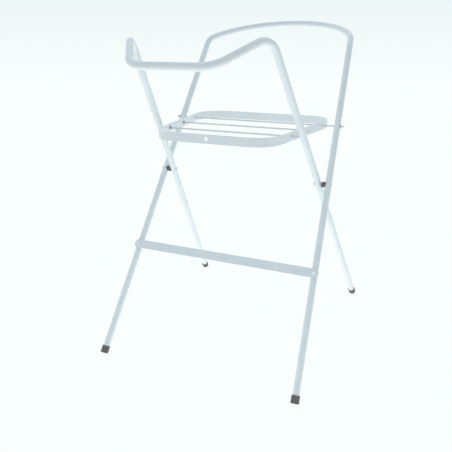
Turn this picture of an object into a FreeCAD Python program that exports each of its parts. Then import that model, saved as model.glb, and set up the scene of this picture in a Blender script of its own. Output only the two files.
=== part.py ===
import FreeCAD, Part
import Sketcher
import math
import os
from FreeCAD import Placement, Rotation, Vector

# Folding stand for a baby bath. Two bent steel tubes cross at a pair of pivots, and a tray between them locks
# the cross open: it is hinged on the outer frame and drops over a latch rod on the inner frame.
# +X is the stand's right, +Y its rear, +Z up. The origin is on the floor, under the middle of the stand.

# Driving dimensions in millimetres and degrees. Lengths called "along" run up a frame's own slope from
# the floor.
DIMENSIONS = {
    # Tubes
    "tube_diameter": 19.0,
    "tube_wall": 1.2,
    "bend_radius": 62.0,
    # Stance
    "lean_angle": 35.95,
    "pivot_along": 622.0,
    # Outer frame
    "outer_pivot_half": 270.8,
    "outer_splay": 2.745,
    "outer_shoulder_along": 1117.2,
    "bow_end_angle": 75.1,
    "bow_tilt_angle": 39.4,
    # Inner frame
    "inner_splay": 6.13,
    "inner_shoulder_along": 1127.1,
    "shoulder_radius": 54.0,
    "bar_rise": 29.0,
    "bar_reach": 147.9,
    "bar_half": 103.7,
    # Pivots and rivets
    "rivet_diameter": 6.0,
    "rivet_head_diameter": 10.0,
    "rivet_head_height": 2.4,
    "rivet_head_round": 2.0,
    "spacer_diameter": 16.5,
    "spacer_length": 9.5,
    "spacer_edge": 1.0,
    "washer_diameter": 11.0,
    "washer_thickness": 1.2,
    # Crossbar
    "crossbar_along": 355.0,
    "crossbar_width": 26.0,
    "crossbar_thickness": 3.0,
    # Tray
    "tray_height": 657.5,
    "rod_diameter": 4.5,
    "rod_end_inset": 0.4,
    "band_height": 24.5,
    "band_thickness": 2.5,
    "tray_side_gap": 22.6,
    "tray_taper": 7.2,
    "tray_front_reach": 130.0,
    "tray_rear_reach": 110.0,
    "tray_front_radius": 75.0,
    "tray_rear_radius": 74.0,
    "front_hole_diameter": 10.5,
    "front_hole_offset": 6.0,
    "seam_offset": 36.0,
    "seam_width": 0.8,
    "seam_depth": 0.5,
    "bush_flange_diameter": 8.5,
    "bush_flange_thickness": 1.2,
    "bush_neck_diameter": 6.5,
    "hinge_rod_end": 9.0,
    "retainer_diameter": 12.0,
    "retainer_thickness": 1.6,
    "retainer_edge": 1.0,
    # Latch
    "fold_angle": 62.0,
    "lift_angle": 118.0,
    "collar_diameter": 9.0,
    "collar_thickness": 1.5,
    "collar_gap": 0.5,
    "notch_exit_fold": 3.0,
    "notch_clearance": 0.8,
    "latch_socket": 3.0,
    # Feet
    "cap_diameter": 23.0,
    "cap_length": 21.5,
    "cap_base": 4.0,
    "cap_edge": 1.5,
    "floor_flat": 2.0,
    # Fits
    "seat_gap": 0.05,
    "running_clearance": 0.06,
    "turning_gap": 0.35,
}

doc = FreeCAD.newDocument("baby_bath_stand")
sheet = doc.addObject("Spreadsheet::Sheet", "dims")
for row, (alias, number) in enumerate(DIMENSIONS.items(), start=1):
    sheet.set(f"A{row}", alias)
    sheet.set(f"B{row}", str(number))
    sheet.setAlias(f"B{row}", alias)
doc.recompute()

AXIS_X = Vector(1, 0, 0)
AXIS_Y = Vector(0, 1, 0)
AXIS_Z = Vector(0, 0, 1)
NO_TURN = Rotation()
SAME_PLACE = 0.001
SIDES = {"left": -1, "right": 1}
nodes = []


def size(alias):
    """The number in the sheet's cell of that name."""
    return float(sheet.get(alias))


lean = math.radians(size("lean_angle"))
tube_radius = size("tube_diameter") / 2
cap_radius = size("cap_diameter") / 2


class Frame:
    """One leaning frame: its slope, the spacing of its splayed legs and where its feet meet the floor."""

    def __init__(self, toward_rear, pivot_half, splay):
        self.pivot_half = pivot_half
        self.slope = math.tan(math.radians(size(splay)))
        self.turn = Rotation(AXIS_X, 90 - toward_rear * size("lean_angle"))
        self.place = Placement(Vector(0, -toward_rear * size("pivot_along") * math.sin(lean), 0), self.turn)
        self.crown = tube_radius * math.hypot(1, self.slope)
        cap_drop = cap_radius * math.sqrt(1 - self.axis(1).z ** 2) - size("floor_flat")
        self.cap_along = cap_drop / math.cos(lean)
        self.tube_along = self.cap_along + size("cap_base") / math.hypot(1, self.slope)

    def half(self, along):
        """Half of the legs' spacing at a distance along the slope."""
        return self.pivot_half + (size("pivot_along") - along) * self.slope

    def point(self, side, along, height=0.0):
        """A point on a leg's axis, or at a height above the slope there."""
        return self.place.multVec(Vector(side * self.half(along), along, height))

    def axis(self, side):
        """A leg's direction, upwards."""
        return self.turn.multVec(Vector(-side * self.slope, 1, 0)).normalize()

    def turning_gap(self, radius):
        """The gap that keeps a flat disc on a cross pin clear of a splayed leg turning beside it."""
        return size("turning_gap") + radius * self.slope


# The inner legs stand inside the outer ones by the spacer and the gap in which they turn.
outer = Frame(1, size("outer_pivot_half"), "outer_splay")
inner = Frame(-1, 0.0, "inner_splay")
spacer_outer_x = outer.pivot_half - outer.crown
spacer_inner_x = spacer_outer_x - size("spacer_length")
spacer_flat_radius = size("spacer_diameter") / 2 - size("spacer_edge")
inner.pivot_half = spacer_inner_x - inner.turning_gap(spacer_flat_radius) - inner.crown


def bend(before, corner, after, radius):
    """The start, middle and end of the arc that rounds a corner between two straight runs."""
    into = (corner - before).normalize()
    out = (after - corner).normalize()
    half_turn = into.getAngle(out) / 2
    reach = radius * math.tan(half_turn)
    middle = corner + (out - into).normalize() * (radius / math.cos(half_turn) - radius)
    return corner - into * reach, middle, corner + out * reach


# The outer frame's path, in its own slope: straight legs to the shoulders, where a bend on each side leads into
# one deep bow. The bow is an arc that leans back out of the slope by the tilt angle, and each of its ends makes
# the end angle with the line between them.
bow_end = math.radians(size("bow_end_angle"))
bow_tilt = math.radians(size("bow_tilt_angle"))
bow_rise = Vector(0, math.cos(bow_tilt), -math.sin(bow_tilt))
bow_heading = bow_rise * math.sin(bow_end) - AXIS_X * math.cos(bow_end)
leg_foot = Vector(outer.half(outer.tube_along), outer.tube_along, 0)
outer_shoulder = Vector(outer.half(size("outer_shoulder_along")), size("outer_shoulder_along"), 0)
outer_bend = bend(leg_foot, outer_shoulder, outer_shoulder + bow_heading, size("bend_radius"))
bow_start = outer_bend[-1]
bow_radius = bow_start.x / math.sin(bow_end)
bow_top = bow_start - AXIS_X * bow_start.x + bow_rise * bow_radius * (1 - math.cos(bow_end))

# The origin is under the middle of the stand's length, from the front bar to the back of the bow.
bar_along = size("inner_shoulder_along") + size("bar_rise")
bar_lean = (bar_along - size("pivot_along")) * math.sin(lean)
bar_front = bar_lean + size("bar_reach") * math.cos(lean) + tube_radius
bow_rear = outer.place.multVec(bow_top).y + tube_radius
pivot_y = (bar_front - bow_rear) / 2
outer.place.move(Vector(0, pivot_y, 0))
inner.place.move(Vector(0, pivot_y, 0))

pivot_z = size("pivot_along") * math.cos(lean)
tray_along = size("tray_height") / math.cos(lean)
rod_rise = size("tray_height") - pivot_z
rod_spread = rod_rise * math.tan(lean)
latch_y = pivot_y - rod_spread
hinge_y = pivot_y + rod_spread


def bind(feature, name, amount):
    """Binds a property to an expression, or sets a length worked out from the frames."""
    if isinstance(amount, str):
        feature.setExpression(name, amount)
    else:
        setattr(feature, name, amount)


def cylinder(label, radius, height, place):
    """A cylinder along its placement's Z axis."""
    feature = doc.addObject("Part::Cylinder", label)
    bind(feature, "Radius", radius)
    bind(feature, "Height", height)
    feature.Placement = place
    return feature


def cross_cylinder(label, radius, half_length, y, z):
    """A cylinder along X, centred on the stand's middle plane."""
    place = Placement(Vector(-half_length, y, z), Rotation(AXIS_Y, 90))
    return cylinder(label, radius, 2 * half_length, place)


def block(label, low, high, place=Placement()):
    """A box between two corners of its placement's frame."""
    feature = doc.addObject("Part::Box", label)
    feature.Length, feature.Width, feature.Height = high - low
    feature.Placement = place.multiply(Placement(low, NO_TURN))
    return feature


def fuse(label, pieces):
    """Several solids joined to one."""
    feature = doc.addObject("Part::MultiFuse", label)
    feature.Shapes = pieces
    return feature


def cut(label, base, tools):
    """The base with every tool taken out of it."""
    feature = doc.addObject("Part::Cut", label)
    feature.Base = base
    feature.Tool = tools[0] if len(tools) == 1 else fuse(label + "_tools", tools)
    return feature


def round_ends(label, base, radii):
    """Rounds a cylinder's end rings: radii maps a height along the cylinder to the radius there."""
    doc.recompute()
    local = base.Shape.copy()
    local.Placement = Placement()
    rings = []
    for index, edge in enumerate(local.Edges, start=1):
        for height, radius in radii.items():
            if edge.isClosed() and abs(edge.CenterOfMass.z - height) < SAME_PLACE:
                rings.append((index, radius, radius))
    feature = doc.addObject("Part::Fillet", label)
    feature.Base = base
    feature.Edges = rings
    return feature


def keep(feature, node):
    """Names a finished sub-part."""
    feature.Label = node
    nodes.append(feature)


def arc_edge(start, middle, end):
    return Part.Arc(start, middle, end).toShape()


def bent_path(points, radii):
    """Straight runs between the points, with each corner rounded by an arc tangent to its two runs."""
    edges = []
    run_start = points[0]
    for before, corner, after, radius in zip(points, points[1:], points[2:], radii):
        bend_start, bend_middle, bend_end = bend(before, corner, after, radius)
        edges.append(Part.makeLine(run_start, bend_start))
        edges.append(arc_edge(bend_start, bend_middle, bend_end))
        run_start = bend_end
    edges.append(Part.makeLine(run_start, points[-1]))
    return edges


def tube(label, edges):
    """A round tube bent along the path's edges."""
    path = doc.addObject("Part::Feature", label + "_path")
    path.Shape = Part.Wire(edges)
    start = edges[0].Vertexes[0].Point
    heading = edges[0].Vertexes[1].Point - start
    spans = [f"Edge{number}" for number in range(1, len(edges) + 1)]
    sweeps = []
    skin_radius = "dims.tube_diameter / 2"
    for layer, radius in (("skin", skin_radius), ("bore", skin_radius + " - dims.tube_wall")):
        ring = doc.addObject("Part::Circle", f"{label}_{layer}_ring")
        ring.setExpression("Radius", radius)
        ring.Placement = Placement(start, Rotation(AXIS_Z, heading))
        sweep = doc.addObject("Part::Sweep", f"{label}_{layer}")
        sweep.Sections = [ring]
        sweep.Spine = (path, spans)
        sweep.Solid = True
        sweeps.append(sweep)
    return cut(label + "_bent", sweeps[0], sweeps[1:])


pivot_hole = "dims.rivet_diameter / 2 + dims.running_clearance"
rod_hole = "dims.rod_diameter / 2 + dims.running_clearance"
rivet_seat = "dims.rivet_diameter / 2 + dims.seat_gap"
rod_seat = "dims.rod_diameter / 2 + dims.seat_gap"
tube_seat = "dims.tube_diameter / 2 + dims.seat_gap"
drill_half = outer.half(0) + size("tube_diameter")


def on_outer(local, side):
    """A point of the outer frame's own path, on either side, in the stand's frame."""
    return outer.place.multVec(Vector(side * local.x, local.y, local.z))


left_foot, right_foot = [on_outer(leg_foot, side) for side in SIDES.values()]
left_bend, right_bend = [[on_outer(place, side) for place in outer_bend] for side in SIDES.values()]
outer_edges = [
    Part.makeLine(left_foot, left_bend[0]),
    arc_edge(*left_bend),
    arc_edge(left_bend[-1], on_outer(bow_top, 1), right_bend[-1]),
    arc_edge(*reversed(right_bend)),
    Part.makeLine(right_bend[0], right_foot),
]

# The outer tube is drilled across both legs for the pivots and the tray's hinge rod, and through each leg
# from the front for the crossbar's rivets.
crossbar_half = outer.half(size("crossbar_along"))
outer_drills = [
    cross_cylinder("outer_pivot_drill", rivet_seat, drill_half, pivot_y, pivot_z),
    cross_cylinder("outer_hinge_drill", rod_hole, drill_half, hinge_y, size("tray_height")),
]
for side_name, side in SIDES.items():
    drill_place = Placement(outer.point(side, size("crossbar_along"), -size("tube_diameter")), outer.turn)
    drill = cylinder("crossbar_drill_" + side_name, rivet_seat, "dims.tube_diameter * 2", drill_place)
    outer_drills.append(drill)
keep(cut("outer_tube", tube("outer", outer_edges), outer_drills), "outer_frame_tube")

# The inner frame's path: straight legs up to the shoulders, then forward out of the legs' slope to a front
# bar. The tube is drilled across for the pivots. The latch rod's sockets go through the inner walls only.
shoulder_half = inner.half(size("inner_shoulder_along"))
foot_half = inner.half(inner.tube_along)
inner_corners = [
    Vector(-foot_half, inner.tube_along, 0),
    Vector(-shoulder_half, size("inner_shoulder_along"), 0),
    Vector(-size("bar_half"), bar_along, size("bar_reach")),
    Vector(size("bar_half"), bar_along, size("bar_reach")),
    Vector(shoulder_half, size("inner_shoulder_along"), 0),
    Vector(foot_half, inner.tube_along, 0),
]
bar_bends = [size("bend_radius"), size("bend_radius")]
inner_bends = [size("shoulder_radius"), *bar_bends, size("shoulder_radius")]
inner_edges = bent_path([inner.place.multVec(corner) for corner in inner_corners], inner_bends)
latch_leg_half = inner.half(tray_along)
inner_drills = [
    cross_cylinder("inner_pivot_drill", pivot_hole, drill_half, pivot_y, pivot_z),
    cross_cylinder("latch_drill", rod_seat, latch_leg_half, latch_y, size("tray_height")),
]
keep(cut("inner_tube", tube("inner", inner_edges), inner_drills), "inner_frame_tube")

# The crossbar is a flat strip with round ends and a rivet hole in each, laid across the front of the outer
# legs.
crossbar = doc.addObject("PartDesign::Body", "crossbar_body")
plan = crossbar.newObject("Sketcher::SketchObject", "crossbar_plan")
plane = [feature for feature in crossbar.Origin.OriginFeatures if feature.Role == "XY_Plane"][0]
plan.AttachmentSupport = [(plane, "")]
plan.MapMode = "FlatFace"
end_radius = size("crossbar_width") / 2
ends = [Vector(-crossbar_half, 0, 0), Vector(crossbar_half, 0, 0)]
rise = Vector(0, end_radius, 0)
top = plan.addGeometry(Part.LineSegment(ends[0] + rise, ends[1] + rise))
low = plan.addGeometry(Part.LineSegment(ends[0] - rise, ends[1] - rise))
left_circle, right_circle = [Part.Circle(end, AXIS_Z, end_radius) for end in ends]
left = plan.addGeometry(Part.ArcOfCircle(left_circle, math.pi / 2, 3 * math.pi / 2))
right = plan.addGeometry(Part.ArcOfCircle(right_circle, -math.pi / 2, math.pi / 2))
holes = [plan.addGeometry(Part.Circle(end, AXIS_Z, size("rivet_diameter") / 2)) for end in ends]
START, END, CENTRE, ORIGIN = 1, 2, 3, -1
for line, line_end, arc, arc_end in (
    (top, START, left, START), (low, START, left, END), (low, END, right, START), (top, END, right, END)
):
    plan.addConstraint(Sketcher.Constraint("Tangent", line, line_end, arc, arc_end))
plan.addConstraint(Sketcher.Constraint("Symmetric", left, CENTRE, right, CENTRE, ORIGIN, START))
plan.addConstraint(Sketcher.Constraint("Horizontal", top))
plan.addConstraint(Sketcher.Constraint("DistanceX", left, CENTRE, right, CENTRE, 2 * crossbar_half))
end_round = plan.addConstraint(Sketcher.Constraint("Radius", left, end_radius))
plan.setExpression(f"Constraints[{end_round}]", "dims.crossbar_width / 2")
for hole, arc in zip(holes, (left, right)):
    plan.addConstraint(Sketcher.Constraint("Coincident", hole, CENTRE, arc, CENTRE))
    hole_round = plan.addConstraint(Sketcher.Constraint("Radius", hole, size("rivet_diameter") / 2))
    plan.setExpression(f"Constraints[{hole_round}]", rivet_seat)
strip = crossbar.newObject("PartDesign::Pad", "crossbar_strip")
strip.Profile = plan
strip.setExpression("Length", "dims.crossbar_thickness")
crossbar_seat = tube_radius + size("seat_gap")
crossbar_middle = Vector(0, size("crossbar_along"), crossbar_seat)
crossbar.Placement = outer.place.multiply(Placement(crossbar_middle, NO_TURN))
keep(crossbar, "crossbar")


def rivet(node, grip, place):
    """A round-headed rivet: its head lies below its placement's XY plane, its shank runs up the grip."""
    height = size("rivet_head_height")
    pieces = [cylinder(node + "_shank", "dims.rivet_diameter / 2", grip, place)]
    for end, base, round_height in (("head", -height, 0.0), ("tail", grip, height)):
        at = place.multiply(Placement(Vector(0, 0, base), NO_TURN))
        disc = cylinder(f"{node}_{end}_disc", "dims.rivet_head_diameter / 2", "dims.rivet_head_height", at)
        pieces.append(round_ends(f"{node}_{end}", disc, {round_height: size("rivet_head_round")}))
    keep(fuse(node + "_whole", pieces), node)


# Each crossbar rivet goes through the strip and both walls of the leg, and is closed behind the leg.
for side_name, side in SIDES.items():
    front = crossbar_seat + size("crossbar_thickness")
    head_place = Placement(outer.point(side, size("crossbar_along"), front), outer.turn)
    head_place = head_place.multiply(Placement(Vector(), Rotation(AXIS_X, 180)))
    rivet("crossbar_rivet_" + side_name, front + crossbar_seat, head_place)

# A pivot, from the outside: rivet head, outer leg, spacer, inner leg, washer and the rivet's closed head. The
# spacer is hollowed to sit on the round outer leg. The inner leg turns on the shank.
rivet_head_lean = size("rivet_head_diameter") / 2 * outer.slope
rivet_head_x = outer.pivot_half + outer.crown + size("seat_gap") + rivet_head_lean
washer_x = inner.pivot_half - inner.crown - inner.turning_gap(size("washer_diameter") / 2)
washer_end_x = washer_x - size("washer_thickness")
for side_name, side in SIDES.items():
    inward = Rotation(AXIS_Z, Vector(-side, 0, 0))
    outward = Rotation(AXIS_Z, Vector(side, 0, 0))
    head = Vector(side * rivet_head_x, pivot_y, pivot_z)
    rivet("pivot_rivet_" + side_name, rivet_head_x - washer_end_x, Placement(head, inward))

    spacer_place = Placement(Vector(side * spacer_inner_x, pivot_y, pivot_z), outward)
    spacer_reach = size("spacer_length") + tube_radius
    blank = cylinder("spacer_blank_" + side_name, "dims.spacer_diameter / 2", spacer_reach, spacer_place)
    blank = round_ends("spacer_round_" + side_name, blank, {0.0: size("spacer_edge")})
    saddle_start = outer.point(side, size("pivot_along") - size("spacer_diameter"))
    saddle = cylinder(
        "spacer_saddle_" + side_name, tube_seat, "dims.spacer_diameter * 2",
        Placement(saddle_start, Rotation(AXIS_Z, outer.axis(side)))
    )
    bore = cylinder("spacer_bore_" + side_name, rivet_seat, spacer_reach, spacer_place)
    keep(cut("spacer_" + side_name, blank, [saddle, bore]), "pivot_spacer_" + side_name)

    washer_place = Placement(Vector(side * washer_end_x, pivot_y, pivot_z), outward)
    label = "washer_" + side_name
    disc = cylinder(label + "_disc", "dims.washer_diameter / 2", "dims.washer_thickness", washer_place)
    bore = cylinder(label + "_bore", rivet_seat, "dims.washer_thickness", washer_place)
    keep(cut(label, disc, [bore]), "pivot_washer_" + side_name)

# A foot cap is a moulded sleeve over a tube end, with a small flat where its rim meets the floor.
for frame_name, frame in (("outer", outer), ("inner", inner)):
    for side_name, side in SIDES.items():
        label = f"{frame_name}_cap_{side_name}"
        foot = frame.point(side, frame.cap_along)
        cap_place = Placement(foot, Rotation(AXIS_Z, frame.axis(side)))
        blank = cylinder(label + "_blank", "dims.cap_diameter / 2", "dims.cap_length", cap_place)
        edges = {0.0: size("cap_edge"), size("cap_length"): size("cap_edge") / 2}
        blank = round_ends(label + "_round", blank, edges)
        bore_place = cap_place.multiply(Placement(Vector(0, 0, size("cap_base")), NO_TURN))
        bore = cylinder(label + "_bore", tube_seat, "dims.cap_length", bore_place)
        below = Vector(foot.x, foot.y, -size("cap_diameter"))
        wide = Vector(size("cap_diameter"), size("cap_diameter"), 0)
        floor = block(label + "_floor", below - wide, Vector(foot.x, foot.y, 0) + wide)
        keep(cut(label, blank, [bore, floor]), f"{frame_name}_foot_cap_{side_name}")

# The latch rod's ends are set in sockets in the inner walls of the inner legs.
latch_half = latch_leg_half - inner.crown + size("latch_socket")
keep(cross_cylinder("latch", "dims.rod_diameter / 2", latch_half, latch_y, size("tray_height")), "latch_rod")

# The tray's band is a strip on edge, bent to a ring that is narrower in front.
taper = math.tan(math.radians(size("tray_taper")))
band_latch_half = latch_leg_half - inner.crown - size("tray_side_gap")
band_front = latch_y - size("tray_front_reach")
band_rear = hinge_y + size("tray_rear_reach")
band_low = size("tray_height") - size("band_height") / 2


def band_half(y):
    """Half of the band's outer width at a place along the tray."""
    return band_latch_half + (y - latch_y) * taper


front_corner = Vector(band_half(band_front), band_front, band_low)
rear_corner = Vector(band_half(band_rear), band_rear, band_low)
front_left, rear_left = [Vector(-corner.x, corner.y, corner.z) for corner in (front_corner, rear_corner)]
front_middle = Vector(0, band_front, band_low)
loop = [front_middle, front_corner, rear_corner, rear_left, front_left, front_middle]
outline = doc.addObject("Part::Feature", "band_outline")
front_radius, rear_radius = size("tray_front_radius"), size("tray_rear_radius")
outline.Shape = Part.Wire(bent_path(loop, [front_radius, rear_radius, rear_radius, front_radius]))
inline = doc.addObject("Part::Offset2D", "band_inline")
inline.Source = outline
inline.setExpression("Value", "-dims.band_thickness")
walls = []
for wall_name, profile in (("outside", outline), ("inside", inline)):
    wall = doc.addObject("Part::Extrusion", "band_" + wall_name)
    wall.Base = profile
    wall.DirMode = "Custom"
    wall.Dir = AXIS_Z
    wall.setExpression("LengthFwd", "dims.band_height")
    wall.Solid = True
    walls.append(wall)


def latch_in_tray(fold):
    """Where the latch rod lies in the lifted tray's own frame, from the hinge rod: rearward and upward."""
    along = math.radians(fold) - lean
    lift = math.radians(fold * size("lift_angle") / size("fold_angle"))
    arm = math.hypot(rod_rise, rod_spread)
    y = arm * math.sin(along) - rod_spread
    z = arm * math.cos(along) - rod_rise
    return Vector(0, y * math.cos(lift) - z * math.sin(lift), y * math.sin(lift) + z * math.cos(lift))


def inside_band(y, disc_diameter, gap):
    """How far out a disc on a cross rod lies inside the band's slanted side, with the gap at its rim."""
    wall = size("band_thickness") / math.cos(math.atan(taper))
    return band_half(y) - wall - disc_diameter / 2 * taper - gap


# A thin plastic collar on the latch rod, inside each side of the band, keeps the tray from sliding sideways.
collar_x = inside_band(latch_y, size("collar_diameter"), size("collar_gap"))
for side_name, side in SIDES.items():
    inward = Rotation(AXIS_Z, Vector(-side, 0, 0))
    collar_place = Placement(Vector(side * collar_x, latch_y, size("tray_height")), inward)
    label = "collar_" + side_name
    disc = cylinder(label + "_disc", "dims.collar_diameter / 2", "dims.collar_thickness", collar_place)
    bore = cylinder(label + "_bore", rod_seat, "dims.collar_thickness", collar_place)
    keep(cut(label, disc, [bore]), "latch_collar_" + side_name)

# A notch in each side of the band drops over the latch rod, and runs along the way by which the rod leaves the
# lifting band.
way_out = (latch_in_tray(size("notch_exit_fold")) - latch_in_tray(0)).normalize()
notch_turn = Rotation(AXIS_X, math.degrees(math.atan2(way_out.y, -way_out.z)))
notch_radius = size("rod_diameter") / 2 + size("notch_clearance")
notch_place = Placement(Vector(0, latch_y, size("tray_height")), notch_turn)
notch_low = Vector(-latch_leg_half, -notch_radius, -2 * size("band_height"))
notch_high = Vector(latch_leg_half, notch_radius, 0)
seam = Vector(-size("seam_offset"), band_rear, size("tray_height"))
seam_half = Vector(size("seam_width") / 2, size("seam_depth"), size("band_height"))
seam_inside = seam - Vector(0, size("band_thickness"), 0)
hole_middle = Vector(-size("front_hole_offset"), band_front, size("tray_height"))
hole_place = Placement(hole_middle, Rotation(AXIS_X, -90))
bush_seat = "dims.bush_neck_diameter / 2 + dims.seat_gap"
band_cuts = [
    walls[1],
    cross_cylinder("notch_seat", notch_radius, latch_leg_half, latch_y, size("tray_height")),
    block("notch_way", notch_low, notch_high, notch_place),
    cross_cylinder("band_middle_drill", bush_seat, drill_half, pivot_y, size("tray_height")),
    cross_cylinder("band_hinge_drill", rod_seat, drill_half, hinge_y, size("tray_height")),
    cylinder("front_hole", "dims.front_hole_diameter / 2", "dims.band_thickness * 2", hole_place),
    block("seam_outside", seam - seam_half, seam + seam_half),
    block("seam_inside", seam_inside - seam_half, seam_inside + seam_half),
]
keep(cut("band", walls[0], band_cuts), "tray_band")

# The middle rod ends in plastic bushes: a neck through the band and a flange on the band's inner face. The
# flange stands off by what the slanted face leans over its width.
middle_half = band_half(pivot_y) - size("rod_end_inset")
middle_rod = cross_cylinder("middle", "dims.rod_diameter / 2", middle_half, pivot_y, size("tray_height"))
keep(middle_rod, "tray_middle_rod")
flange_x = inside_band(pivot_y, size("bush_flange_diameter"), size("seat_gap"))
for side_name, side in SIDES.items():
    outward = Rotation(AXIS_Z, Vector(side, 0, 0))
    flange_start = Vector(side * (flange_x - size("bush_flange_thickness")), pivot_y, size("tray_height"))
    bush_place = Placement(flange_start, outward)
    bush_length = size("bush_flange_thickness") + middle_half - flange_x
    label = "bush_" + side_name
    flange = cylinder(
        label + "_flange", "dims.bush_flange_diameter / 2", "dims.bush_flange_thickness", bush_place
    )
    neck = cylinder(label + "_neck", "dims.bush_neck_diameter / 2", bush_length, bush_place)
    bore = cylinder(label + "_bore", rod_seat, bush_length, bush_place)
    keep(cut(label, fuse(label + "_blank", [flange, neck]), [bore]), "rod_bush_" + side_name)

# The rear rod runs on from the band through the outer legs as the tray's hinge, and a push-on retainer
# outside each leg holds it there.
retainer_gap = outer.turning_gap(size("retainer_diameter") / 2)
retainer_x = outer.half(tray_along) + outer.crown + retainer_gap
hinge_half = retainer_x + size("retainer_thickness") + size("hinge_rod_end")
hinge_rod = cross_cylinder("hinge", "dims.rod_diameter / 2", hinge_half, hinge_y, size("tray_height"))
keep(hinge_rod, "tray_hinge_rod")
for side_name, side in SIDES.items():
    outward = Rotation(AXIS_Z, Vector(side, 0, 0))
    ring_place = Placement(Vector(side * retainer_x, hinge_y, size("tray_height")), outward)
    label = "retainer_" + side_name
    disc = cylinder(label + "_disc", "dims.retainer_diameter / 2", "dims.retainer_thickness", ring_place)
    disc = round_ends(label + "_round", disc, {size("retainer_thickness"): size("retainer_edge")})
    bore = cylinder(label + "_bore", rod_seat, "dims.retainer_thickness", ring_place)
    keep(cut(label, disc, [bore]), "hinge_retainer_" + side_name)

doc.recompute()
for feature in doc.Objects:
    if "Invalid" in feature.State or "Error" in feature.State:
        raise RuntimeError(f"{feature.Label} failed: {feature.State}")
for feature in nodes:
    if feature.Shape.isNull() or not feature.Shape.isValid() or len(feature.Shape.Solids) != 1:
        raise RuntimeError(f"{feature.Label} is not one valid solid")

os.makedirs("parts", exist_ok=True)
for feature in nodes:
    feature.Shape.exportStep(f"parts/{feature.Label}.step")
    box = feature.Shape.BoundBox
    print(
        f"{feature.Label}: {feature.Shape.Volume:.0f} mm3,"
        f" x {box.XMin:.1f} to {box.XMax:.1f}, y {box.YMin:.1f} to {box.YMax:.1f},"
        f" z {box.ZMin:.1f} to {box.ZMax:.1f}"
    )
print(f"pivot y {pivot_y:.4f} z {pivot_z:.4f}, hinge y {hinge_y:.4f}, tray front y {band_front:.4f}")
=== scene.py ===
import math

import bpy
import numpy as np
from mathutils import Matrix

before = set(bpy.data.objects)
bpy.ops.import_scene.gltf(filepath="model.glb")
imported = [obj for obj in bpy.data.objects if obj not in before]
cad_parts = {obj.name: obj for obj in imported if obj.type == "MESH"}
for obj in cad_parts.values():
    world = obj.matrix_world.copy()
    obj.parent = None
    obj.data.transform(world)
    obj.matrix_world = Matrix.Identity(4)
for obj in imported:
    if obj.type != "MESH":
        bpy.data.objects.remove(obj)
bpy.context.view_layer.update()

# Outer frame: one mild-steel tube, bent to two legs and a deep bow behind them, and drilled for pivots and
# tray. It is sprayed with white powder paint, which is baked on to a smooth, half-glossy skin.
MILLIMETRE = 0.001
NOISE_LOW = 0.3
NOISE_HIGH = 0.7
FILM_PATCH = 70
THIN_FILM = "#E3EAEF"
THICK_FILM = "#E8EFF3"
THIN_ROUGHNESS = 0.28
THICK_ROUGHNESS = 0.24
PEEL_WAVE = 5
PEEL_DEPTH = 0.2
PEEL_STRENGTH = 0.05
PAINT_IOR = 1.55


def linear(hex_colour):
    """An sRGB hex colour as linear RGBA: each channel goes back through the sRGB curve."""
    channels = np.array([int(hex_colour[i:i + 2], 16) for i in (1, 3, 5)]) / 255
    straight = np.where(channels <= 0.04045, channels / 12.92, ((channels + 0.055) / 1.055) ** 2.4)
    return (*straight.tolist(), 1.0)


def add_node(tree, kind, sockets=None, stops=(), **settings):
    """Adds one shader node: settings are its properties, and stops a ramp's places and colours.

    Sockets are its inputs, each a value or another node's output.
    """
    node = tree.nodes.new("ShaderNode" + kind)
    for name, setting in settings.items():
        setattr(node, name, setting)
    for index, (position, colour) in enumerate(stops):
        node.color_ramp.elements[index].position = position
        node.color_ramp.elements[index].color = linear(colour)
    for name, source in (sockets or {}).items():
        if isinstance(source, bpy.types.NodeSocket):
            tree.links.new(source, node.inputs[name])
        else:
            node.inputs[name].default_value = source
    return node


def empty_material(name):
    """A material whose node tree holds nothing but the pattern coordinates of its object."""
    material = bpy.data.materials.new(name)
    material.use_nodes = True
    tree = material.node_tree
    tree.nodes.clear()
    place = add_node(tree, "TexCoord").outputs["Object"]
    return material, tree, place


def grains(size):
    """A pattern's scale for grains of a size in millimetres: how many of them go into a metre."""
    return 1 / (size * MILLIMETRE)


# Baked powder paint: cool white, even, with a faint orange peel. The peel's waves are 2 mm on the real paint
# and are drawn at 5 mm, because finer ones don't show. Slow changes of the film's thickness shift the tint.
powder_paint, tree, place = empty_material("white_powder_paint")
film = add_node(
    tree, "TexNoise", {"Vector": place, "Scale": grains(FILM_PATCH), "Detail": 3.0, "Roughness": 0.55}
)
tint = add_node(
    tree, "ValToRGB", {"Fac": film.outputs["Fac"]}, stops=[(NOISE_LOW, THIN_FILM), (NOISE_HIGH, THICK_FILM)]
)
peel = add_node(tree, "TexNoise", {"Vector": place, "Scale": grains(PEEL_WAVE), "Detail": 1.0})
skin = add_node(
    tree, "Bump",
    {"Height": peel.outputs["Fac"], "Strength": PEEL_STRENGTH, "Distance": PEEL_DEPTH * MILLIMETRE}
)
gloss = add_node(
    tree, "MapRange",
    {
        "Value": film.outputs["Fac"], "From Min": NOISE_LOW, "From Max": NOISE_HIGH,
        "To Min": THIN_ROUGHNESS, "To Max": THICK_ROUGHNESS
    }
)
paint = add_node(
    tree, "BsdfPrincipled",
    {
        "Base Color": tint.outputs["Color"], "Roughness": gloss.outputs["Result"], "IOR": PAINT_IOR,
        "Normal": skin.outputs["Normal"]
    }
)
add_node(tree, "OutputMaterial", {"Surface": paint.outputs["BSDF"]})


def finish_with(material, *names):
    """Gives the named pieces of the frame one material."""
    for name in names:
        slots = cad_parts[name].data.materials
        slots.clear()
        slots.append(material)


finish_with(powder_paint, "outer_frame_tube")

# Inner frame: the same tube in one length, painted alike, with shoulders that bend forward to the bar under
# the bath's front. It crosses the outer frame between its legs and turns on the pivots.
finish_with(powder_paint, "inner_frame_tube")

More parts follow.
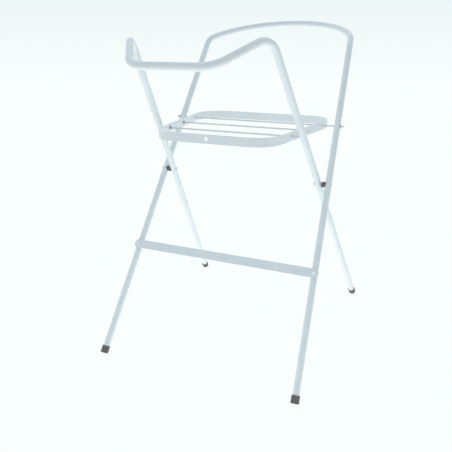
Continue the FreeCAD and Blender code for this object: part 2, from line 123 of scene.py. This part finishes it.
# Crossbar: a flat steel strip with round ends, painted with the frame. A round-headed steel rivet holds each
# end to a leg, and was closed after painting, so its zinc shows.
ZINC_CRYSTAL = 2.5
ZINC_CLOUD = 9
CRYSTAL_EDGE = 0.8
finish_with(powder_paint, "crossbar")


def zinc_plate(name, dull, bright, smooth, rough):
    """Zinc-plated mild steel: a bluish grey metal whose crystals lie in clouds from dull to bright.

    The middle of a crystal is smooth, and its edge is rough.
    """
    material, tree, place = empty_material(name)
    crystals = add_node(tree, "TexVoronoi", {"Vector": place, "Scale": grains(ZINC_CRYSTAL)})
    clouds = add_node(tree, "TexNoise", {"Vector": place, "Scale": grains(ZINC_CLOUD), "Detail": 4.0})
    tone = add_node(
        tree, "ValToRGB", {"Fac": clouds.outputs["Fac"]}, stops=[(NOISE_LOW, dull), (NOISE_HIGH, bright)]
    )
    shine = add_node(
        tree, "MapRange",
        {"Value": crystals.outputs["Distance"], "From Max": CRYSTAL_EDGE, "To Min": smooth, "To Max": rough}
    )
    zinc = add_node(
        tree, "BsdfPrincipled",
        {"Base Color": tone.outputs["Color"], "Metallic": 1.0, "Roughness": shine.outputs["Result"]}
    )
    add_node(tree, "OutputMaterial", {"Surface": zinc.outputs["BSDF"]})
    return material


# Zinc on the rivets' heads: drawn whiter and glossier than the other zinc as a painted highlight, so they
# stand out as white points.
highlight_zinc = zinc_plate("zinc_plate_painted_highlight", dull="#E4E8EB", bright="#F2F5F6", smooth=0.12, rough=0.18)
finish_with(highlight_zinc, "crossbar_rivet_left", "crossbar_rivet_right")

# Pivots: a steel rivet through both legs, with a thick plastic spacer between the tubes and a thin steel
# washer under the closed head. The spacer is moulded with a hollow that sits on the outer leg.
PLASTIC_PATCH = 11
PATCH_LOW = 0.35
DARK_GREY = "#5C5959"
HANDLED_GREY = "#6E6A69"
MOULD_GRIT = 1.5
GRIT_DEPTH = 0.15
GRIT_STRENGTH = 0.25
PLASTIC_ROUGHNESS = 0.52
PLASTIC_IOR = 1.5
# The pivot rivets' heads take the same whitened zinc, whose paleness is a painted highlight.
finish_with(highlight_zinc, "pivot_rivet_left", "pivot_rivet_right")

# Zinc as it comes out of the plating tank: greyer, with a soft shine.
zinc_steel = zinc_plate("zinc_plated_steel", dull="#BFC5CB", bright="#D2D7DC", smooth=0.28, rough=0.36)
finish_with(zinc_steel, "pivot_washer_left", "pivot_washer_right")

# Moulded polyethylene: dark warm grey, dull, with the fine eroded texture of its mould. The texture is
# 0.4 mm on the real piece and is drawn at 1.5 mm, to show. Handling leaves slightly paler patches.
dark_plastic, tree, place = empty_material("dark_grey_polyethylene")
patches = add_node(
    tree, "TexNoise", {"Vector": place, "Scale": grains(PLASTIC_PATCH), "Detail": 5.0, "Roughness": 0.6}
)
shade = add_node(
    tree, "ValToRGB", {"Fac": patches.outputs["Fac"]},
    stops=[(PATCH_LOW, DARK_GREY), (NOISE_HIGH, HANDLED_GREY)]
)
mould = add_node(tree, "TexNoise", {"Vector": place, "Scale": grains(MOULD_GRIT), "Detail": 2.0})
grit = add_node(
    tree, "Bump",
    {"Height": mould.outputs["Fac"], "Strength": GRIT_STRENGTH, "Distance": GRIT_DEPTH * MILLIMETRE}
)
plastic = add_node(
    tree, "BsdfPrincipled",
    {
        "Base Color": shade.outputs["Color"], "Roughness": PLASTIC_ROUGHNESS, "IOR": PLASTIC_IOR,
        "Normal": grit.outputs["Normal"]
    }
)
add_node(tree, "OutputMaterial", {"Surface": plastic.outputs["BSDF"]})
finish_with(dark_plastic, "pivot_spacer_left", "pivot_spacer_right")

# Foot caps: four sleeves of the same moulded polyethylene, closed below and pushed over the tube ends.
# Their rims grip the floor.
finish_with(
    dark_plastic,
    "outer_foot_cap_left", "outer_foot_cap_right", "inner_foot_cap_left", "inner_foot_cap_right"
)

# Tray band: a steel strip on edge, bent to a rounded ring and butt-jointed at the rear, painted with the
# frame. It is notched below for the latch rod and has one hole in front.
finish_with(powder_paint, "tray_band")

# Rods: straight steel wire, cut to length and zinc plated. The rear one is the tray's hinge, the middle one
# only stiffens the tray, and the front one joins the inner legs.
finish_with(zinc_steel, "tray_hinge_rod", "tray_middle_rod", "latch_rod")

# Collars and bushes: thin turned rings of nylon. The collars on the latch rod keep the tray from sliding
# sideways, and the bushes hold the middle rod in the band without wearing its paint.
TOOL_STEP = 0.8
TOOL_WANDER = 1.5
GROOVE_GREY = "#85888C"
RIDGE_GREY = "#999CA0"
NYLON_ROUGHNESS = 0.42
NYLON_IOR = 1.53

# Turned nylon: mid grey and satin, paler than the moulded caps, with the fine rings of the lathe tool. The
# rings are 0.1 mm apart on the real piece and are drawn at 0.8 mm.
grey_nylon, tree, place = empty_material("grey_nylon")
tool = add_node(
    tree, "TexWave", {"Vector": place, "Scale": grains(TOOL_STEP), "Distortion": TOOL_WANDER},
    wave_type="RINGS", rings_direction="X"
)
turned = add_node(
    tree, "ValToRGB", {"Fac": tool.outputs["Fac"]}, stops=[(0.0, GROOVE_GREY), (1.0, RIDGE_GREY)]
)
nylon = add_node(
    tree, "BsdfPrincipled",
    {"Base Color": turned.outputs["Color"], "Roughness": NYLON_ROUGHNESS, "IOR": NYLON_IOR}
)
add_node(tree, "OutputMaterial", {"Surface": nylon.outputs["BSDF"]})
finish_with(grey_nylon, "latch_collar_left", "latch_collar_right", "rod_bush_left", "rod_bush_right")

# Retainers: small rings of plated spring steel with a rounded rim, pushed on to the hinge rod outside the
# outer legs. They grip the rod and keep it from sliding out.
finish_with(zinc_steel, "hinge_retainer_left", "hinge_retainer_right")

# Floor: a wide translucent sheet lit from below, as a light table is. It shows as even white, lights the
# stand from underneath and still takes a faint shadow at the feet.
FLOOR_RADIUS = 12.0
FLOOR_RINGS = 8
FLOOR_SPOKES = 96
FLOOR_WHITE = "#F9FEFC"
TABLE_GLOW = 0.9
TABLE_CENTRE = (0.3, -0.25, 0.0)
TABLE_RADIUS = 1.5
TABLE_LIGHT = 1.42
TABLE_EDGE_LIGHT = 0.65
TABLE_SEEN = 1.03


def disc_mesh(name, radius, rings, spokes):
    """A flat disc: point (i, j) lies at radius times (i + 1) / rings and at the angle j turns / spokes."""
    reach = radius * np.arange(1, rings + 1)[:, None] / rings
    angle = 2 * np.pi * np.arange(spokes)[None, :] / spokes
    points = np.stack([reach * np.cos(angle), reach * np.sin(angle), np.zeros((rings, spokes))], axis=-1)
    ring, spoke = np.meshgrid(np.arange(rings - 1), np.arange(spokes), indexing="ij")
    after = (spoke + 1) % spokes
    inner = ring * spokes
    outer = inner + spokes
    corners = np.stack([inner + spoke, outer + spoke, outer + after, inner + after], axis=-1)
    middle = list(range(spokes))
    mesh = bpy.data.meshes.new(name)
    mesh.from_pydata(points.reshape(-1, 3).tolist(), [], [*corners.reshape(-1, 4).tolist(), middle])
    return mesh


def seen_rays(tree):
    """The largest of three flags: 1 for a ray that looks, straight, mirrored or through glass, and else 0."""
    ray = add_node(tree, "LightPath").outputs
    mirrored = add_node(
        tree, "Math", {0: ray["Is Camera Ray"], 1: ray["Is Glossy Ray"]}, operation="MAXIMUM"
    )
    seen = add_node(
        tree, "Math", {0: mirrored.outputs["Value"], 1: ray["Is Transmission Ray"]}, operation="MAXIMUM"
    )
    return seen.outputs["Value"]


# Light-table sheet: white opal acrylic. Nine tenths of what it shows is its own glow, and the rest is light
# that falls on it. Its lamps are strongest round a place at the stand's front right and weaker further off.
light_table, tree, place = empty_material("light_table_sheet")
reach = add_node(tree, "VectorMath", {0: place, 1: TABLE_CENTRE}, operation="DISTANCE")
lamps = add_node(
    tree, "MapRange",
    {
        "Value": reach.outputs["Value"], "From Min": TABLE_RADIUS, "From Max": 2 * TABLE_RADIUS,
        "To Min": TABLE_LIGHT, "To Max": TABLE_EDGE_LIGHT
    }
)
shine = add_node(
    tree, "MapRange", {"Value": seen_rays(tree), "To Min": lamps.outputs["Result"], "To Max": TABLE_SEEN}
)
glow = add_node(tree, "Emission", {"Color": linear(FLOOR_WHITE), "Strength": shine.outputs["Result"]})
sheet = add_node(tree, "BsdfDiffuse", {"Color": linear(FLOOR_WHITE)})
table = add_node(
    tree, "MixShader", {"Fac": TABLE_GLOW, 1: sheet.outputs["BSDF"], 2: glow.outputs["Emission"]}
)
add_node(tree, "OutputMaterial", {"Surface": table.outputs["Shader"]})
floor = bpy.data.objects.new("floor", disc_mesh("floor", FLOOR_RADIUS, FLOOR_RINGS, FLOOR_SPOKES))
floor.data.materials.append(light_table)
bpy.context.scene.collection.objects.link(floor)

# Room: a white backdrop, shaded bluish towards its top, is what shows behind the stand. The light that the
# room gives the stand comes from a soft box overhead and from the walls, which are dim in front on the right
# and bright behind on the left.
BRIGHT_SIDE = (-0.6, 0.8, 0.0)
WALL_STOPS = [(0.08, "#78828A"), (0.6, "#C8CFD3")]
SOFT_BOX_WHITE = "#E6F0F5"
OVERHEAD_LIGHT = 1.38
SOFT_BOX_EDGE = 0.5
SOFT_BOX_FULL = 0.95
SWEEP_STOPS = [(0.0, "#FAFFFE"), (1.0, "#EDF6F7")]
SWEEP_FOOT = -0.08
SWEEP_TOP = 0.06
world = bpy.data.worlds.new("studio")
bpy.context.scene.world = world
world.use_nodes = True
tree = world.node_tree
tree.nodes.clear()
heading = add_node(tree, "TexCoord").outputs["Generated"]
upward = add_node(tree, "SeparateXYZ", {"Vector": heading}).outputs["Z"]
rearward = add_node(tree, "VectorMath", {0: heading, 1: BRIGHT_SIDE}, operation="DOT_PRODUCT")
depth = add_node(tree, "MapRange", {"Value": rearward.outputs["Value"], "From Min": -1.0, "From Max": 1.0})
walls = add_node(tree, "ValToRGB", {"Fac": depth.outputs["Result"]}, stops=WALL_STOPS)
wall_light = add_node(tree, "Background", {"Color": walls.outputs["Color"], "Strength": 1.0})
soft_box = add_node(tree, "Background", {"Color": linear(SOFT_BOX_WHITE), "Strength": OVERHEAD_LIGHT})
height = add_node(tree, "MapRange", {"Value": upward, "From Min": SOFT_BOX_EDGE, "From Max": SOFT_BOX_FULL})
room = add_node(
    tree, "MixShader",
    {"Fac": height.outputs["Result"], 1: wall_light.outputs["Background"], 2: soft_box.outputs["Background"]}
)
level = add_node(tree, "MapRange", {"Value": upward, "From Min": SWEEP_FOOT, "From Max": SWEEP_TOP})
sweep = add_node(tree, "ValToRGB", {"Fac": level.outputs["Result"]}, stops=SWEEP_STOPS)
backdrop = add_node(tree, "Background", {"Color": sweep.outputs["Color"], "Strength": 1.0})
view = add_node(
    tree, "MixShader", {"Fac": seen_rays(tree), 1: room.outputs["Shader"], 2: backdrop.outputs["Background"]}
)
add_node(tree, "OutputWorld", {"Surface": view.outputs["Shader"]})

# Camera: in front of the stand and to its right, a little higher than the front bar, looking down. Its place
# is in metres, its angles are in degrees, round from the front and down from the level, and its lens and
# sensor are in millimetres.
CAMERA_PLACE = (0.605346, -1.530956, 0.907641)
CAMERA_AZIMUTH = 23.721
CAMERA_ELEVATION = 19.357
LENS = 42.612
SENSOR = 36.0
camera_data = bpy.data.cameras.new("camera")
camera_data.lens = LENS
camera_data.sensor_width = SENSOR
camera = bpy.data.objects.new("camera", camera_data)
camera.location = CAMERA_PLACE
camera.rotation_euler = (math.radians(90 - CAMERA_ELEVATION), 0.0, math.radians(CAMERA_AZIMUTH))
bpy.context.scene.collection.objects.link(camera)
bpy.context.scene.camera = camera
bpy.context.scene.view_settings.view_transform = "Standard"
